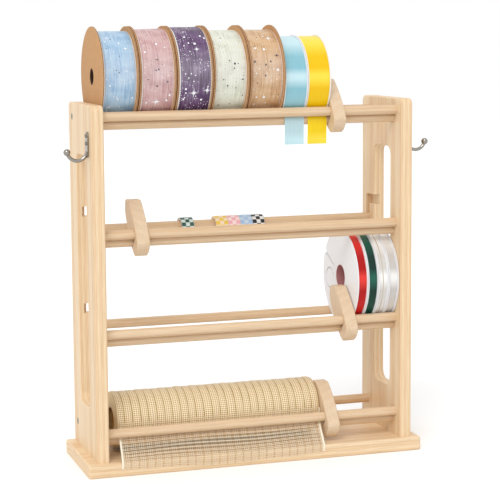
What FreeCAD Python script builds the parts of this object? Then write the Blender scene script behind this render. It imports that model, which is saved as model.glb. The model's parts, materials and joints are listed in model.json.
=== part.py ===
"""Four-tier tabletop ribbon rack in pine, loaded with ribbon spools, paper tape rolls and a mesh roll.

Frame: +X to the right, +Y to the back, +Z up, millimetres. The origin is the middle of the base
board's underside. Tier 1 is the top tier, tier 4 the bottom one.
"""
import math
import os

import FreeCAD
import Part

V = FreeCAD.Vector
X_AXIS = V(1, 0, 0)

# ---------------------------------------------------------------- driving dimensions
INNER_WIDTH = 356.0          # clear width between the side panels
PANEL_THICKNESS = 14.0
PANEL_DEPTH = 120.0
PANEL_HEIGHT = 404.0
PANEL_CORNER_RADIUS = 7.0
PANEL_EDGE_CHAMFER = 1.2

BASE_THICKNESS = 16.0
BASE_SIDE_LIP = 11.0         # base board beyond each panel's outer face
BASE_FRONT_LIP = 5.0
BASE_REAR_LIP = 2.0
BASE_CORNER_RADIUS = 3.0
BASE_EDGE_CHAMFER = 1.3

SLOT_FRONT_STILE = 33.0      # panel left in front of the slot
SLOT_REAR_STILE = 36.0
SLOT_BOTTOM_RAIL = 56.0      # panel left below the slot
SLOT_TOP_RAIL = 58.0
SLOT_CORNER_RADIUS = 11.0
SLOT_EDGE_CHAMFER = 0.8

DOWEL_DIAMETER = 11.0
DOWEL_SEAT_DEPTH = 8.0       # blind hole in the panel's inner face
DOWEL_SEAT_CLEARANCE = 0.05
FRONT_DOWEL_INSET = 16.0     # front dowel's axis behind the panel's front edge
REAR_DOWEL_INSET = 18.0      # rear dowel's axis in front of the panel's back edge
REAR_DOWEL_DROP = 3.0        # rear dowels sit lower than the front ones
FEED_GAP = 1.75              # between a front dowel and the lower dowel behind it
FEED_ANGLE = 48.2            # degrees down to the back, from the front dowel to the lower one

# Front dowels' axes: the top two tiers hang from the panels' tops, the bottom one stands on the
# base, and the third one lies as low as the spools on it need (see NARROW_HEADROOM)
TIER_1_DROP = 13.4
TIER_2_DROP = 146.6
TIER_4_RISE = 29.2

GROOVE_TIERS = ("2", "3")    # rear dowels that lift out through a hooked groove
GROOVE_DEPTH = 8.0
GROOVE_CLEARANCE = 0.35
GROOVE_LIFT = 23.5           # from the seat up to the way out
GROOVE_CORNER_RADIUS = 4.0
LIFT_DOWEL_END_CLEARANCE = 0.3

SCREW_TIERS = ("1", "4")     # rear dowels held by a screw through each panel
ROD_SCREW_SHANK = 4.0
ROD_SCREW_HEAD = 8.0
ROD_SCREW_LENGTH = 32.0
BASE_SCREW_SHANK = 4.0
BASE_SCREW_HEAD = 8.0
BASE_SCREW_LENGTH = 42.0
BASE_SCREW_INSET = 40.0      # from the panel's front and back edges
BASE_SCREW_SINK = 0.4        # head below the base board's underside
SCREW_CLEARANCE = 0.05
SCREW_TIP_SLENDERNESS = 0.9  # point's length over the shank's diameter

DIVIDER_THICKNESS = 15.0
DIVIDER_CLEARANCE = 0.35     # round the dowels
DIVIDER_CORNER_RADIUS = 3.5
DIVIDER_EDGE_CHAMFER = 1.0
DIVIDER_STANDOFF = 0.8       # from the spool or roll that a divider stands against
DIVIDER_2_FROM_PANEL = 36.3  # the second tier's divider stands by itself

HOOK_DROP = 44.0             # middle of the back plate below the panel's top
HOOK_FRONT_INSET = 19.0      # behind the panel's front edge
HOOK_PLATE_HEIGHT = 29.0
HOOK_PLATE_WIDTH = 12.0
HOOK_PLATE_THICKNESS = 2.0
HOOK_PRONG_DIAMETER = 4.2
HOOK_ROOT_DROP = 7.5         # prong's points below the plate's middle: start, bowl and tip
HOOK_BOWL_DROP = 17.5
HOOK_TIP_DROP = 8.0
HOOK_BOWL_REACH = 11.5       # bowl's and tip's distances from the panel
HOOK_TIP_REACH = 24.0
HOOK_BALL_DIAMETER = 8.0
HOOK_SCREW_RISE = 10.0       # upper screw above the plate's middle
HOOK_SCREW_SPACING = 8.5
HOOK_SCREW_SHANK = 2.6
HOOK_SCREW_HEAD = 5.6
HOOK_SCREW_LENGTH = 12.0

REST_GAP = 0.3               # loose rolls stand this far off what carries them
SIDE_GAP = 0.5               # between neighbours along a tier

# Board reels of sheer ribbon on the top tier, left to right, with the rim left above each ribbon
BOARD_FLANGE_RADIUS = 56.6
BOARD_FLANGE_THICKNESS = 2.3
BOARD_BORE_RADIUS = 9.0
BOARD_HUB_WALL = 2.0
SHEER_RIBBON_WIDTH = 38.0
SHEER_RIMS = {"blue": 5.2, "pink": 3.2, "purple": 1.4, "cream": 5.2, "tan": 5.2}

# Thin-flanged reels of satin ribbon on the top tier
SATIN_FLANGE_RADIUS = 51.6
SATIN_FLANGE_THICKNESS = 1.0
SATIN_BORE_RADIUS = 12.0
SATIN_HUB_WALL = 2.0
SATIN_RIBBON_WIDTH = 25.6
SATIN_RIMS = {"sky": 1.1, "yellow": 1.1}
TAIL_SIDE_INSET = 1.1        # loose end narrower than the winding, at each side
TAIL_THICKNESS = 0.4
TAIL_DROP = 28.0             # from the lower dowel's axis to the cut end

# Narrow reels on the third tier
NARROW_FLANGE_RADIUS = 57.5
NARROW_FLANGE_THICKNESS = 1.1
NARROW_BORE_RADIUS = 14.0
NARROW_HUB_WALL = 2.0
NARROW_RIBBON_WIDTH = 10.4
NARROW_RIMS = {"red": 2.0, "green": 2.0, "white": 2.0, "sheer": 2.5}
NARROW_HEADROOM = 6.43       # from a narrow spool to the second tier's lower dowel
SLIT_END_RADIUS = 21.0       # tapered slit in the flanges, from the rim inwards
SLIT_RIM_WIDTH = 5.0
SLIT_END_WIDTH = 1.25
SLIT_ANGLE = 26.0            # degrees above the back
CLIP_RADIUS = 11.5           # C-shaped cut that frees a clip for the ribbon's end
CLIP_CUT_WIDTH = 1.6
CLIP_ARM = 36.0              # clip's middle from the reel's axis
CLIP_ANGLE = -10.0

# Paper tape rolls threaded on the second tier's rear dowel, one by itself and a group
TAPE_ROLL_WIDTH = 15.0
TAPE_ROLL_RADIUS = 14.0
TAPE_BORE_RADIUS = 10.25
TAPE_SIDE_GAP = 0.3
TAPE_GROUPS_FROM_PANEL = {114.0: ("teal",), 156.5: ("yellow", "pink", "blue", "black")}

# Mesh roll lying on the base board, and its loose end
MESH_ROLL_RADIUS = 34.0
MESH_ROLL_LENGTH = 243.0
MESH_ROLL_FROM_PANEL = 21.0
MESH_CORE_BORE = 12.5
MESH_CORE_WALL = 2.5
MESH_TAIL_THICKNESS = 1.1
MESH_TAIL_LAP = 10.0         # degrees of the roll that the loose end still lies on
MESH_TAIL_DRIFT = 5.5        # it comes off the roll this far to the left
MESH_TAIL_HANG = 9.0         # from the base board's top down its front edge

# ---------------------------------------------------------------- places worked out from them
INNER_X = INNER_WIDTH / 2
OUTER_X = INNER_X + PANEL_THICKNESS
BASE_DEPTH = BASE_FRONT_LIP + PANEL_DEPTH + BASE_REAR_LIP
BASE_FRONT_Y = -BASE_DEPTH / 2
BASE_BACK_Y = BASE_DEPTH / 2
PANEL_FRONT_Y = BASE_FRONT_Y + BASE_FRONT_LIP
PANEL_BACK_Y = PANEL_FRONT_Y + PANEL_DEPTH
PANEL_TOP_Z = BASE_THICKNESS + PANEL_HEIGHT
SLOT_FRONT_Y = PANEL_FRONT_Y + SLOT_FRONT_STILE
SLOT_BACK_Y = PANEL_BACK_Y - SLOT_REAR_STILE
SLOT_BOTTOM_Z = BASE_THICKNESS + SLOT_BOTTOM_RAIL
SLOT_TOP_Z = PANEL_TOP_Z - SLOT_TOP_RAIL
SIDES = {"left": -1, "right": 1}

DOWEL_RADIUS = DOWEL_DIAMETER / 2
FEED_SETBACK = (DOWEL_DIAMETER + FEED_GAP) * math.cos(math.radians(FEED_ANGLE))
FEED_DROP = (DOWEL_DIAMETER + FEED_GAP) * math.sin(math.radians(FEED_ANGLE))
FRONT_DOWEL_Y = PANEL_FRONT_Y + FRONT_DOWEL_INSET
LOWER_DOWEL_Y = FRONT_DOWEL_Y + FEED_SETBACK
REAR_DOWEL_Y = PANEL_BACK_Y - REAR_DOWEL_INSET
HOOK_Y = PANEL_FRONT_Y + HOOK_FRONT_INSET
HOOK_Z = PANEL_TOP_Z - HOOK_DROP
HOOK_SCREW_HEIGHTS = (HOOK_Z + HOOK_SCREW_RISE, HOOK_Z + HOOK_SCREW_RISE - HOOK_SCREW_SPACING)

SHEER_REEL_WIDTH = SHEER_RIBBON_WIDTH + 2 * BOARD_FLANGE_THICKNESS
SATIN_REEL_WIDTH = SATIN_RIBBON_WIDTH + 2 * SATIN_FLANGE_THICKNESS
NARROW_REEL_WIDTH = NARROW_RIBBON_WIDTH + 2 * NARROW_FLANGE_THICKNESS
SHEER_LEFT_X = -INNER_X + SIDE_GAP
SATIN_LEFT_X = SHEER_LEFT_X + len(SHEER_RIMS) * (SHEER_REEL_WIDTH + SIDE_GAP)
SATIN_RIGHT_X = SATIN_LEFT_X + len(SATIN_RIMS) * (SATIN_REEL_WIDTH + SIDE_GAP) - SIDE_GAP
NARROW_LEFT_X = INNER_X - len(NARROW_RIMS) * (NARROW_REEL_WIDTH + SIDE_GAP)
MESH_LEFT_X = -INNER_X + MESH_ROLL_FROM_PANEL
MESH_RIGHT_X = MESH_LEFT_X + MESH_ROLL_LENGTH
DIVIDER_LEFT_X = {
    "1": SATIN_RIGHT_X + DIVIDER_STANDOFF,
    "2": -INNER_X + DIVIDER_2_FROM_PANEL,
    "3": NARROW_LEFT_X - DIVIDER_STANDOFF - DIVIDER_THICKNESS,
    "4": MESH_RIGHT_X + DIVIDER_STANDOFF,
}


def cradle_centre(front, rear, radius):
    """(y, z) of a roll that rests on two dowels, REST_GAP off both."""
    (fy, fz), (ry, rz) = front, rear
    reach = radius + DOWEL_RADIUS + REST_GAP
    half = math.hypot(ry - fy, rz - fz) / 2
    rise = math.sqrt(reach * reach - half * half)
    uy, uz = (ry - fy) / (2 * half), (rz - fz) / (2 * half)
    return (fy + ry) / 2 - uz * rise, (fz + rz) / 2 + uy * rise


def third_tier_z(second_tier_z):
    """Low enough for a narrow spool to clear the second tier's lower dowel."""
    front, rear = (FRONT_DOWEL_Y, 0.0), (REAR_DOWEL_Y, -REAR_DOWEL_DROP)
    y, rise = cradle_centre(front, rear, NARROW_FLANGE_RADIUS)
    reach = NARROW_FLANGE_RADIUS + DOWEL_RADIUS + NARROW_HEADROOM
    drop = math.sqrt(reach * reach - (y - LOWER_DOWEL_Y) ** 2)
    return second_tier_z - FEED_DROP - drop - rise


TIER_Z = {
    "1": PANEL_TOP_Z - TIER_1_DROP,
    "2": PANEL_TOP_Z - TIER_2_DROP,
    "3": third_tier_z(PANEL_TOP_Z - TIER_2_DROP),
    "4": BASE_THICKNESS + TIER_4_RISE,
}


def front_dowel(tier):
    """(y, z) of a tier's front dowel axis."""
    return FRONT_DOWEL_Y, TIER_Z[tier]


def lower_dowel(tier):
    return LOWER_DOWEL_Y, TIER_Z[tier] - FEED_DROP


def rear_dowel(tier):
    return REAR_DOWEL_Y, TIER_Z[tier] - REAR_DOWEL_DROP


# ---------------------------------------------------------------- shape helpers
def x_cylinder(radius, x0, x1, y, z):
    return Part.makeCylinder(radius, x1 - x0, V(x0, y, z), X_AXIS)


def x_tube(outer, inner, x0, x1, y, z):
    return x_cylinder(outer, x0, x1, y, z).cut(x_cylinder(inner, x0, x1, y, z))


def rounded_rectangle(u0, v0, u1, v1, radius, place):
    """Closed wire of a rectangle with round corners; place maps (u, v) to a point."""
    k = radius * (1 - math.sqrt(0.5))
    corners = [
        ((u1 - radius, v0), (u1 - k, v0 + k), (u1, v0 + radius)),
        ((u1, v1 - radius), (u1 - k, v1 - k), (u1 - radius, v1)),
        ((u0 + radius, v1), (u0 + k, v1 - k), (u0, v1 - radius)),
        ((u0, v0 + radius), (u0 + k, v0 + k), (u0 + radius, v0)),
    ]
    edges = []
    for index, corner in enumerate(corners):
        start, middle, end = (place(*point) for point in corner)
        following = place(*corners[(index + 1) % 4][0])
        edges.append(Part.Arc(start, middle, end).toShape())
        edges.append(Part.LineSegment(end, following).toShape())
    return Part.Wire(edges)


def yz_place(x):
    return lambda y, z: V(x, y, z)


def yz_prism(wire, thickness):
    return Part.Face(wire).extrude(V(thickness, 0, 0))


def side_rims(shape):
    """Edges of the shape's faces that look along X."""
    return [edge for edge in shape.Edges if edge.BoundBox.XLength < 1e-6]


def placed(shape, point, direction):
    """A copy of a shape made along +Z, turned to point its head along direction at point."""
    copy = shape.copy()
    copy.Placement = FreeCAD.Placement(V(*point), FreeCAD.Rotation(V(0, 0, 1), V(*direction)))
    return copy


def save(name, shape):
    shape.exportStep(os.path.join("parts", name + ".step"))


# ---------------------------------------------------------------- screws
def screw(head, shank, length, countersunk=True):
    """A screw along +Z, its head's flat face at Z = 0 and its point below."""
    sink = (head - shank) / 2
    tip = shank * SCREW_TIP_SLENDERNESS
    top = [V(0, 0, 0), V(head / 2, 0, 0), V(shank / 2, 0, -sink)]
    if not countersunk:
        top = [V(0, 0, sink), V(head / 4, 0, sink), V(head / 2, 0, 0), V(shank / 2, 0, 0)]
    outline = top + [V(shank / 2, 0, -length + tip), V(0, 0, -length)]
    face = Part.Face(Part.makePolygon(outline + [outline[0]]))
    return face.revolve(V(0, 0, 0), V(0, 0, 1), 360)


def screw_hole(head, shank, length):
    """The hole such a screw stands in, a little wider all round."""
    return screw(head + 2 * SCREW_CLEARANCE, shank + 2 * SCREW_CLEARANCE, length + SCREW_CLEARANCE)


def rod_screw_places():
    places = []
    for sign in SIDES.values():
        for tier in SCREW_TIERS:
            y, z = rear_dowel(tier)
            places.append(((sign * OUTER_X, y, z), (sign, 0, 0)))
    return places


def base_screw_places():
    places = []
    for sign in SIDES.values():
        x = sign * (INNER_X + PANEL_THICKNESS / 2)
        for y in (PANEL_FRONT_Y + BASE_SCREW_INSET, PANEL_BACK_Y - BASE_SCREW_INSET):
            places.append(((x, y, BASE_SCREW_SINK), (0, 0, -1)))
    return places


def hook_screw_places():
    places = []
    for sign in SIDES.values():
        for z in HOOK_SCREW_HEIGHTS:
            places.append(((sign * (OUTER_X + HOOK_PLATE_THICKNESS), HOOK_Y, z), (sign, 0, 0)))
    return places


def rod_screw_holes():
    hole = screw_hole(ROD_SCREW_HEAD, ROD_SCREW_SHANK, ROD_SCREW_LENGTH)
    return [placed(hole, *place) for place in rod_screw_places()]


def base_screw_holes():
    hole = screw_hole(BASE_SCREW_HEAD, BASE_SCREW_SHANK, BASE_SCREW_LENGTH)
    well = Part.makeCylinder(BASE_SCREW_HEAD / 2 + SCREW_CLEARANCE, BASE_SCREW_SINK)
    return [placed(hole.fuse(well), *place) for place in base_screw_places()]


def hook_screw_holes():
    radius = HOOK_SCREW_SHANK / 2 + SCREW_CLEARANCE
    hole = Part.makeCylinder(radius, HOOK_SCREW_LENGTH + SCREW_CLEARANCE, V(0, 0, 0), V(0, 0, -1))
    return [placed(hole, *place) for place in hook_screw_places()]


# ---------------------------------------------------------------- frame of the rack
def base_board():
    half = OUTER_X + BASE_SIDE_LIP
    outline = rounded_rectangle(
        -half, BASE_FRONT_Y, half, BASE_BACK_Y, BASE_CORNER_RADIUS, lambda x, y: V(x, y, 0)
    )
    board = Part.Face(outline).extrude(V(0, 0, BASE_THICKNESS))
    rims = [edge for edge in board.Edges if edge.BoundBox.ZLength < 1e-6]
    board = board.makeChamfer(BASE_EDGE_CHAMFER, rims)
    return board.cut(Part.makeCompound(base_screw_holes()))


def panel_outline(x):
    """Side panel seen along X: square at the foot, round at the two top corners."""
    r = PANEL_CORNER_RADIUS
    k = r * (1 - math.sqrt(0.5))
    y0, y1, z0, z1 = PANEL_FRONT_Y, PANEL_BACK_Y, BASE_THICKNESS, PANEL_TOP_Z
    edges = [
        Part.LineSegment(V(x, y0, z0), V(x, y1, z0)),
        Part.LineSegment(V(x, y1, z0), V(x, y1, z1 - r)),
        Part.Arc(V(x, y1, z1 - r), V(x, y1 - k, z1 - k), V(x, y1 - r, z1)),
        Part.LineSegment(V(x, y1 - r, z1), V(x, y0 + r, z1)),
        Part.Arc(V(x, y0 + r, z1), V(x, y0 + k, z1 - k), V(x, y0, z1 - r)),
        Part.LineSegment(V(x, y0, z1 - r), V(x, y0, z0)),
    ]
    return Part.Wire([edge.toShape() for edge in edges])


def groove_cutter(tier, x0, x1):
    """Hooked groove for a lift-out dowel: in from the slot, to the back, then down to a round seat."""
    y, seat_z = rear_dowel(tier)
    half = DOWEL_RADIUS + GROOVE_CLEARANCE
    turn_z = seat_z + GROOVE_LIFT
    seat = x_cylinder(half, x0, x1, y, seat_z)
    drop = Part.makeBox(x1 - x0, 2 * half, turn_z - seat_z, V(x0, y - half, seat_z))
    way_in = rounded_rectangle(
        SLOT_BACK_Y - 2 * GROOVE_CORNER_RADIUS, turn_z - half, y + half, turn_z + half,
        GROOVE_CORNER_RADIUS, yz_place(x0),
    )
    return seat.fuse([drop, yz_prism(way_in, x1 - x0)]).removeSplitter()


def dowel_seats(x0, x1):
    """Blind holes of every dowel that is fixed in the panels."""
    radius = DOWEL_RADIUS + DOWEL_SEAT_CLEARANCE
    seats = []
    for tier in TIER_Z:
        axes = [front_dowel(tier), lower_dowel(tier)]
        if tier not in GROOVE_TIERS:
            axes.append(rear_dowel(tier))
        seats += [x_cylinder(radius, x0, x1, y, z) for y, z in axes]
    return seats


def side_panel(sign):
    x0 = INNER_X if sign > 0 else -OUTER_X
    panel = yz_prism(panel_outline(x0), PANEL_THICKNESS)
    rims = [edge for edge in side_rims(panel) if edge.BoundBox.ZMax > BASE_THICKNESS + 1e-6]
    panel = panel.makeChamfer(PANEL_EDGE_CHAMFER, rims)

    slot = yz_prism(
        rounded_rectangle(
            SLOT_FRONT_Y, SLOT_BOTTOM_Z, SLOT_BACK_Y, SLOT_TOP_Z, SLOT_CORNER_RADIUS, yz_place(x0)
        ),
        PANEL_THICKNESS,
    )
    around_slot = slot.BoundBox
    around_slot.enlarge(0.01)
    panel = panel.cut(slot)
    rims = [edge for edge in side_rims(panel) if around_slot.isInside(edge.BoundBox)]
    panel = panel.makeChamfer(SLOT_EDGE_CHAMFER, rims)

    groove_x = sorted((sign * INNER_X, sign * (INNER_X + GROOVE_DEPTH)))
    seat_x = sorted((sign * INNER_X, sign * (INNER_X + DOWEL_SEAT_DEPTH)))
    cutters = [groove_cutter(tier, *groove_x) for tier in GROOVE_TIERS]
    cutters += dowel_seats(*seat_x)
    cutters += rod_screw_holes() + base_screw_holes() + hook_screw_holes()
    return panel.cut(Part.makeCompound(cutters))


def fixed_dowel(y, z):
    """A dowel with its ends in the panels' blind holes."""
    half = INNER_X + DOWEL_SEAT_DEPTH
    return x_cylinder(DOWEL_RADIUS, -half, half, y, z)


def rear_rod(tier):
    y, z = rear_dowel(tier)
    if tier in GROOVE_TIERS:
        half = INNER_X + GROOVE_DEPTH - LIFT_DOWEL_END_CLEARANCE
        return x_cylinder(DOWEL_RADIUS, -half, half, y, z)
    return fixed_dowel(y, z).cut(Part.makeCompound(rod_screw_holes()))


# ---------------------------------------------------------------- sliding dividers
# Outline round the front dowel's axis, as (back, up): leaf shape, leaning back, flat-topped
LEAF_CHIN = (-16.0, -8.0)
LEAF_BROW = (0.5, 15.5)
LEAF_CREST_FRONT = (24.0, 36.5)
LEAF_CREST_BACK = (38.0, 36.5)
LEAF_NAPE = (40.5, 24.0)
LEAF_HEEL = (34.0, 10.5)
LEAF_BELLY = (16.0, -12.0)
LEAF_TOE = (-1.0, -25.0)
LEAF_THROAT = (-10.5, -19.0)


def leaf_outline(x, y, z):
    def at(point):
        return V(x, y + point[0], z + point[1])

    edges = [
        Part.Arc(at(LEAF_CHIN), at(LEAF_BROW), at(LEAF_CREST_FRONT)),
        Part.LineSegment(at(LEAF_CREST_FRONT), at(LEAF_CREST_BACK)),
        Part.Arc(at(LEAF_CREST_BACK), at(LEAF_NAPE), at(LEAF_HEEL)),
        Part.Arc(at(LEAF_HEEL), at(LEAF_BELLY), at(LEAF_TOE)),
        Part.Arc(at(LEAF_TOE), at(LEAF_THROAT), at(LEAF_CHIN)),
    ]
    return Part.Wire([edge.toShape() for edge in edges])


def dowel_pair_hole(x0, x1, y, z):
    """One long hole round the front and the lower dowel, so the leaf slides and can't turn."""
    bore = DOWEL_RADIUS + DIVIDER_CLEARANCE
    front = x_cylinder(bore, x0, x1, y, z)
    lower = x_cylinder(bore, x0, x1, y + FEED_SETBACK, z - FEED_DROP)
    web = Part.makeBox(x1 - x0, DOWEL_DIAMETER + FEED_GAP, 2 * bore, V(x0, 0, -bore))
    web.rotate(V(0, 0, 0), X_AXIS, -FEED_ANGLE)
    web.translate(V(0, y, z))
    return front.fuse([lower, web])


def divider(tier):
    x0 = DIVIDER_LEFT_X[tier]
    y, z = front_dowel(tier)
    leaf = yz_prism(leaf_outline(x0, y, z), DIVIDER_THICKNESS)
    corners = [edge for edge in leaf.Edges if edge.BoundBox.XLength > 1e-6]
    leaf = leaf.makeFillet(DIVIDER_CORNER_RADIUS, corners)
    leaf = leaf.makeChamfer(DIVIDER_EDGE_CHAMFER, side_rims(leaf))
    return leaf.cut(dowel_pair_hole(x0, x0 + DIVIDER_THICKNESS, y, z))


# ---------------------------------------------------------------- side hooks
def hook_prong(sign):
    """Round prong that curves from the plate through its bowl up to the ball, and the ball's place."""
    root = V(sign * (OUTER_X + HOOK_PLATE_THICKNESS / 2), HOOK_Y, HOOK_Z - HOOK_ROOT_DROP)
    bowl = V(sign * (OUTER_X + HOOK_BOWL_REACH), HOOK_Y, HOOK_Z - HOOK_BOWL_DROP)
    tip = V(sign * (OUTER_X + HOOK_TIP_REACH), HOOK_Y, HOOK_Z - HOOK_TIP_DROP)
    path = Part.Arc(root, bowl, tip).toShape()
    start = path.tangentAt(path.FirstParameter)
    section = Part.Wire([Part.Circle(root, start, HOOK_PRONG_DIAMETER / 2).toShape()])
    turn = math.degrees(path.LastParameter - path.FirstParameter)
    return Part.Face(section).revolve(path.Curve.Center, path.Curve.Axis, turn), tip


def hook(sign):
    """Cast single hook: upright plate with round ends, curved prong and a ball at its tip."""
    x0 = OUTER_X if sign > 0 else -OUTER_X - HOOK_PLATE_THICKNESS
    z0 = HOOK_Z - HOOK_PLATE_HEIGHT / 2
    half = HOOK_PLATE_WIDTH / 2
    outline = rounded_rectangle(
        HOOK_Y - half, z0, HOOK_Y + half, z0 + HOOK_PLATE_HEIGHT, half * 0.98, yz_place(x0)
    )
    plate = yz_prism(outline, HOOK_PLATE_THICKNESS)
    prong, tip = hook_prong(sign)
    body = plate.fuse([prong, Part.makeSphere(HOOK_BALL_DIAMETER / 2, tip)])
    wall = Part.makeBox(
        PANEL_THICKNESS, HOOK_PLATE_WIDTH, HOOK_PLATE_HEIGHT,
        V(INNER_X if sign > 0 else -OUTER_X, HOOK_Y - half, z0),
    )
    return body.cut(wall).cut(Part.makeCompound(hook_screw_holes()))


# ---------------------------------------------------------------- loose ends
def bearing(start, end):
    """Angle of the way from one (y, z) point to another."""
    return math.atan2(end[1] - start[1], end[0] - start[0])


def tangent_bearing(start, end, radii):
    """Angle of the radius at which a straight run touches the circle round start.

    radii is their sum, or their difference when both circles lie on one side of the run.
    """
    reach = math.hypot(end[0] - start[0], end[1] - start[1])
    return bearing(start, end) % (2 * math.pi) - math.acos(radii / reach)


def strip(x0, width, thickness, bends, end_z):
    """Sheet seen edge-on: round its bends, straight between them, then down to end_z.

    A bend is (centre, radius of the sheet's middle, first angle, last angle).
    """
    edges, starts, feet = [], [], []
    for offset in (-thickness / 2, thickness / 2):
        arcs = []
        for (y, z), radius, first, last in bends:
            side = radius + (offset if last > first else -offset)
            angles = (first, (first + last) / 2, last)
            arcs.append([V(x0, y + side * math.cos(a), z + side * math.sin(a)) for a in angles])
        edges += [Part.Arc(*arc) for arc in arcs]
        foot = V(x0, arcs[-1][2].y, end_z)
        ends = [arc[2] for arc in arcs]
        followers = [arc[0] for arc in arcs[1:]] + [foot]
        edges += [Part.LineSegment(a, b) for a, b in zip(ends, followers) if (b - a).Length > 1e-6]
        starts.append(arcs[0][0])
        feet.append(foot)
    edges += [Part.LineSegment(*starts), Part.LineSegment(*feet)]
    ordered = Part.sortEdges([edge.toShape() for edge in edges])[0]
    return yz_prism(Part.Wire(ordered), width)


# ---------------------------------------------------------------- rolls on the tiers
def spool_centre(tier, radius):
    """A spool lies on the rear dowel and on the front or the lower one, where it stops higher."""
    rear = rear_dowel(tier)
    stops = [cradle_centre(dowel, rear, radius) for dowel in (front_dowel(tier), lower_dowel(tier))]
    return max(stops, key=lambda stop: stop[1])


def reel(x0, width, y, z, flange, thickness, bore, wall):
    """Two flanges on a hub tube, with a round hole right through."""
    x1 = x0 + width
    flanges = [
        x_cylinder(flange, x0, x0 + thickness, y, z),
        x_cylinder(flange, x1 - thickness, x1, y, z),
    ]
    body = x_cylinder(bore + wall, x0, x1, y, z).fuse(flanges).removeSplitter()
    return body.cut(x_cylinder(bore, x0, x1, y, z))


def sheer_spools():
    """Board reels of sheer ribbon, side by side from the left panel."""
    y, z = spool_centre("1", BOARD_FLANGE_RADIUS)
    hub = BOARD_BORE_RADIUS + BOARD_HUB_WALL
    for place, (colour, rim) in enumerate(SHEER_RIMS.items()):
        x = SHEER_LEFT_X + place * (SHEER_REEL_WIDTH + SIDE_GAP)
        board_reel = reel(
            x, SHEER_REEL_WIDTH, y, z, BOARD_FLANGE_RADIUS, BOARD_FLANGE_THICKNESS,
            BOARD_BORE_RADIUS, BOARD_HUB_WALL,
        )
        save("board_reel_" + colour, board_reel)
        x += BOARD_FLANGE_THICKNESS
        ribbon = x_tube(BOARD_FLANGE_RADIUS - rim, hub, x, x + SHEER_RIBBON_WIDTH, y, z)
        save("sheer_ribbon_" + colour, ribbon)


def satin_tail(x0, width):
    """Loose end: down from the nip, through the feed gap and in front of the lower dowel."""
    front, lower = front_dowel("1"), lower_dowel("1")
    middle = (DOWEL_DIAMETER + FEED_GAP) / 2
    nip = bearing(front, spool_centre("1", SATIN_FLANGE_RADIUS))
    through = bearing(front, lower)
    bends = [(front, middle, nip, through), (lower, middle, through + math.pi, math.pi)]
    return strip(x0, width, TAIL_THICKNESS, bends, lower[1] - TAIL_DROP)


def satin_spools():
    """Thin-flanged reels beside the board reels, each with its loose end in the feed gap."""
    y, z = spool_centre("1", SATIN_FLANGE_RADIUS)
    hub = SATIN_BORE_RADIUS + SATIN_HUB_WALL
    for place, (colour, rim) in enumerate(SATIN_RIMS.items()):
        x = SATIN_LEFT_X + place * (SATIN_REEL_WIDTH + SIDE_GAP)
        satin_reel = reel(
            x, SATIN_REEL_WIDTH, y, z, SATIN_FLANGE_RADIUS, SATIN_FLANGE_THICKNESS,
            SATIN_BORE_RADIUS, SATIN_HUB_WALL,
        )
        save("satin_reel_" + colour, satin_reel)
        x += SATIN_FLANGE_THICKNESS
        ribbon = x_tube(SATIN_FLANGE_RADIUS - rim, hub, x, x + SATIN_RIBBON_WIDTH, y, z)
        save("satin_ribbon_" + colour, ribbon)
        tail = satin_tail(x + TAIL_SIDE_INSET, SATIN_RIBBON_WIDTH - 2 * TAIL_SIDE_INSET)
        save("satin_tail_" + colour, tail)


def ribbon_clip_cutter(x0, y, z):
    """Cuts through both flanges of a narrow reel: the tapered slit and the C round the clip."""
    width = NARROW_REEL_WIDTH
    reach = NARROW_FLANGE_RADIUS + 1.0
    corners = [
        V(x0, SLIT_END_RADIUS, -SLIT_END_WIDTH / 2),
        V(x0, reach, -SLIT_RIM_WIDTH / 2),
        V(x0, reach, SLIT_RIM_WIDTH / 2),
        V(x0, SLIT_END_RADIUS, SLIT_END_WIDTH / 2),
    ]
    slit = yz_prism(Part.makePolygon(corners + [corners[0]]), width)
    slit.Placement = FreeCAD.Placement(V(0, y, z), FreeCAD.Rotation(X_AXIS, SLIT_ANGLE))

    cy = y + CLIP_ARM * math.cos(math.radians(CLIP_ANGLE))
    cz = z + CLIP_ARM * math.sin(math.radians(CLIP_ANGLE))
    outer = CLIP_RADIUS + CLIP_CUT_WIDTH
    ring = x_tube(outer, CLIP_RADIUS, x0, x0 + width, cy, cz)
    # the clip stays joined to the flange on the side of the bore
    joined = Part.makeBox(width, outer, outer, V(x0, -outer, -outer))
    joined.Placement = FreeCAD.Placement(V(0, cy, cz), FreeCAD.Rotation(X_AXIS, CLIP_ANGLE))
    return slit.fuse(ring.cut(joined))


def narrow_spools():
    """Narrow reels on the third tier, side by side up to the right panel."""
    y, z = spool_centre("3", NARROW_FLANGE_RADIUS)
    hub = NARROW_BORE_RADIUS + NARROW_HUB_WALL
    for place, (colour, rim) in enumerate(NARROW_RIMS.items()):
        x = NARROW_LEFT_X + place * (NARROW_REEL_WIDTH + SIDE_GAP)
        narrow_reel = reel(
            x, NARROW_REEL_WIDTH, y, z, NARROW_FLANGE_RADIUS, NARROW_FLANGE_THICKNESS,
            NARROW_BORE_RADIUS, NARROW_HUB_WALL,
        )
        save("narrow_reel_" + colour, narrow_reel.cut(ribbon_clip_cutter(x, y, z)))
        x += NARROW_FLANGE_THICKNESS
        ribbon = x_tube(NARROW_FLANGE_RADIUS - rim, hub, x, x + NARROW_RIBBON_WIDTH, y, z)
        save("narrow_ribbon_" + colour, ribbon)


def tape_places():
    """Each tape roll's colour and left end, along the dowel."""
    places = {}
    for start, colours in TAPE_GROUPS_FROM_PANEL.items():
        for place, colour in enumerate(colours):
            places[colour] = -INNER_X + start + place * (TAPE_ROLL_WIDTH + TAPE_SIDE_GAP)
    return places


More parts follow.
